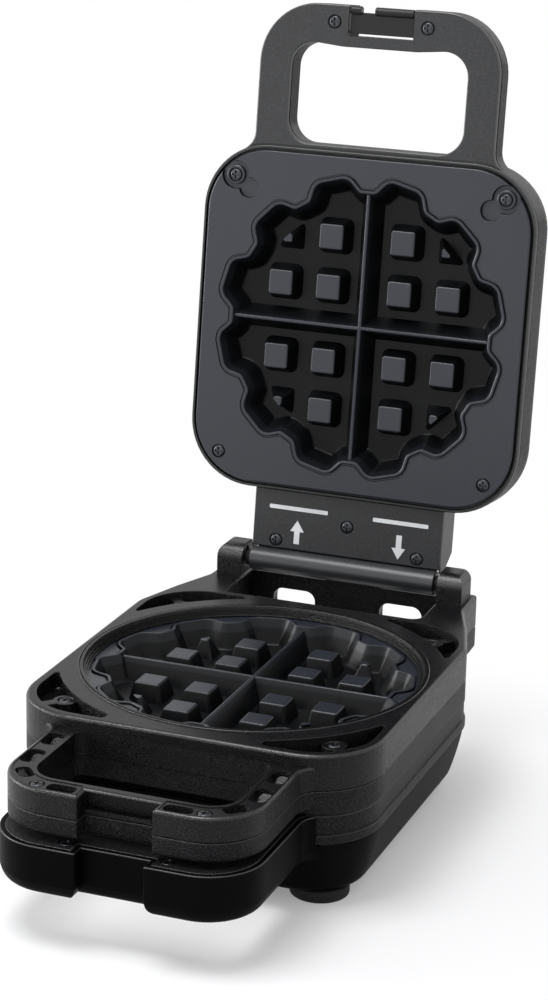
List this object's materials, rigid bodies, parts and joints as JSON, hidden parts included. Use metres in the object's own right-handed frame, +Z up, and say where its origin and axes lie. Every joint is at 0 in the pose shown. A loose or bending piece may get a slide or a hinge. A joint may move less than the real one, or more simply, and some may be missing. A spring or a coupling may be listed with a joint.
{
  "type": "rotating waffle maker",
  "caption": "Black countertop waffle maker with a square lid on a rear hinge, scalloped round waffle plates and loop handles in front, standing open",
  "frame": {"origin": "middle of the bounding box in plan, at the table, lid open", "axes": "+Z up, +X to the right of a person at the handles, -Y towards that person"},
  "size_m": [0.1988, 0.3912, 0.4151],
  "materials": {
    "satin_black": "satin black moulded plastic",
    "grained_black": "black moulded plastic with a fine pebble grain",
    "non_stick": "cast aluminium with a dark grey non-stick coat",
    "bright_steel": "plain steel",
    "black_steel": "black oxide steel",
    "rubber": "matt black rubber",
    "ceramic": "unglazed ceramic",
    "red_lens": "clear red lens",
    "green_lens": "clear green lens"
  },
  "bodies": {
    "base": {"base_frame": "grained_black", "base_handle_screw_left": "black_steel", "base_handle_screw_right": "black_steel", "base_hinge_clip": "bright_steel", "base_hinge_pin": "bright_steel", "base_tub": "satin_black", "cord_inlet_gland": "rubber", "foot_front_left": "rubber", "foot_front_right": "rubber", "foot_rear_left": "rubber", "foot_rear_right": "rubber", "terminal_block": "ceramic"},
    "lower_clam": {"clam_handle_screw_left": "black_steel", "clam_handle_screw_right": "black_steel", "clam_lower_shell": "grained_black", "clam_screw_front_left": "black_steel", "clam_screw_front_right": "black_steel", "clam_screw_rear_left": "black_steel", "clam_screw_rear_right": "black_steel", "clam_upper_shell": "satin_black", "lower_heat_shield": "bright_steel", "lower_heating_element": "bright_steel", "lower_thermal_fuse": "ceramic", "lower_thermostat": "ceramic", "lower_waffle_plate": "non_stick", "swivel_bush": "bright_steel", "swivel_nut": "bright_steel", "swivel_shaft": "bright_steel", "swivel_washer": "bright_steel", "swivel_yoke": "black_steel"},
    "hinge_carriage": {"hinge_shaft": "bright_steel", "hinge_spacer_left": "rubber", "hinge_spacer_right": "rubber"},
    "lid": {"bracket_screw_left": "black_steel", "bracket_screw_middle": "black_steel", "bracket_screw_right": "black_steel", "hinge_barrel": "satin_black", "hinge_bracket": "satin_black", "indicator_green": "green_lens", "indicator_red": "red_lens", "latch_pin_left": "bright_steel", "latch_pin_right": "bright_steel", "lid_front_frame": "satin_black", "lid_handle_screw_left": "black_steel", "lid_handle_screw_right": "black_steel", "lid_outer_shell": "grained_black", "lid_plate_screw_front_left": "black_steel", "lid_plate_screw_front_right": "black_steel", "lid_plate_screw_rear_left": "black_steel", "lid_plate_screw_rear_right": "black_steel", "upper_heat_shield": "bright_steel", "upper_heating_element": "bright_steel", "upper_thermostat": "ceramic", "upper_waffle_plate": "non_stick"},
    "latch": {"latch": "satin_black"}
  },
  "joints": [
    {"name": "clam_lift", "type": "hinge", "parent": "base", "child": "lower_clam", "pos_m": [0, 0.15985, 0.044], "axis": [-1, 0, 0], "range_deg": [0, 80]},
    {"name": "thickness_slide", "type": "slide", "parent": "lower_clam", "child": "hinge_carriage", "axis": [0, 0, 1], "range_m": [0, 0.004]},
    {"name": "lid_hinge", "type": "hinge", "parent": "hinge_carriage", "child": "lid", "pos_m": [0, 0.13556, 0.095], "axis": [1, 0, 0], "range_deg": [0, 98.15]},
    {"name": "latch_swing", "type": "hinge", "parent": "lid", "child": "latch", "pos_m": [0, 0.17591, 0.41224], "axis": [-1, 0, 0], "range_deg": [0, 90]}
  ]
}
